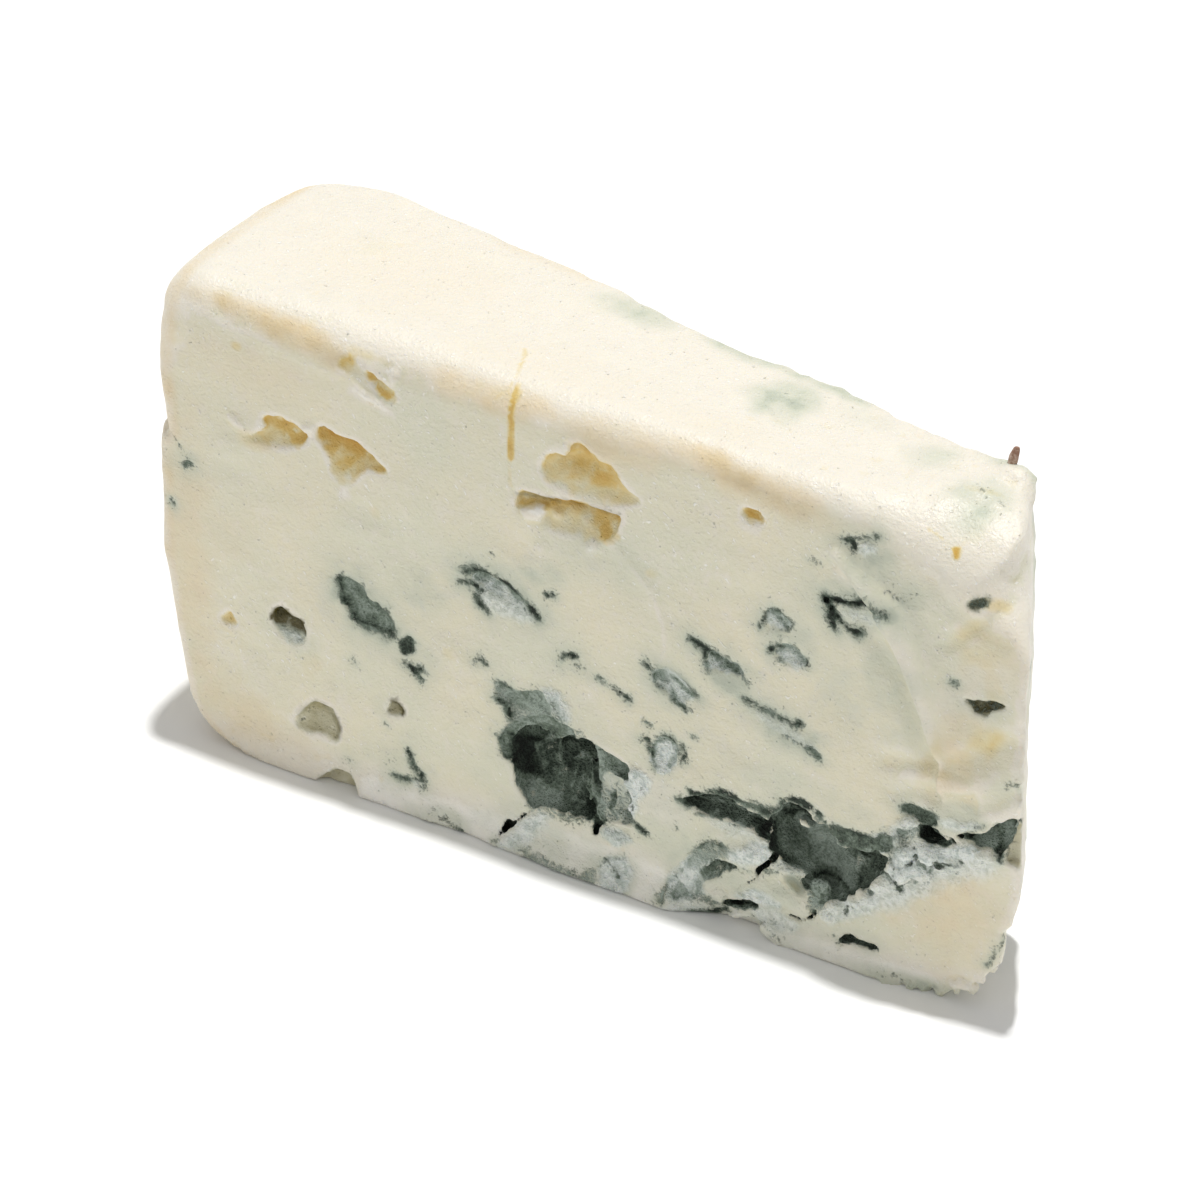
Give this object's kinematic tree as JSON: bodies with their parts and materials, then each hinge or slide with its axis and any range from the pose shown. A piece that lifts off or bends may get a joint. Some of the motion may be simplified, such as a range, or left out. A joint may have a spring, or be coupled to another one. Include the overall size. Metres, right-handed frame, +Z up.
{
  "type": "blue cheese wedge",
  "caption": "Upright wedge of ivory blue-veined cheese with a rounded rind end, a thin blunt tip, mould pockets and small eyes.",
  "frame": {"origin": "centre of the bounding box's base, where the wedge stands", "axes": "+X along the big cut face from the rind end to the tip, +Y from the big cut face to the back, +Z up"},
  "size_m": [0.096, 0.0252, 0.0532],
  "materials": {
    "cheese_paste": "moist ivory cheese paste with blue-green mould"
  },
  "bodies": {
    "root": {"cheese_wedge": "cheese_paste"}
  },
  "joints": []
}
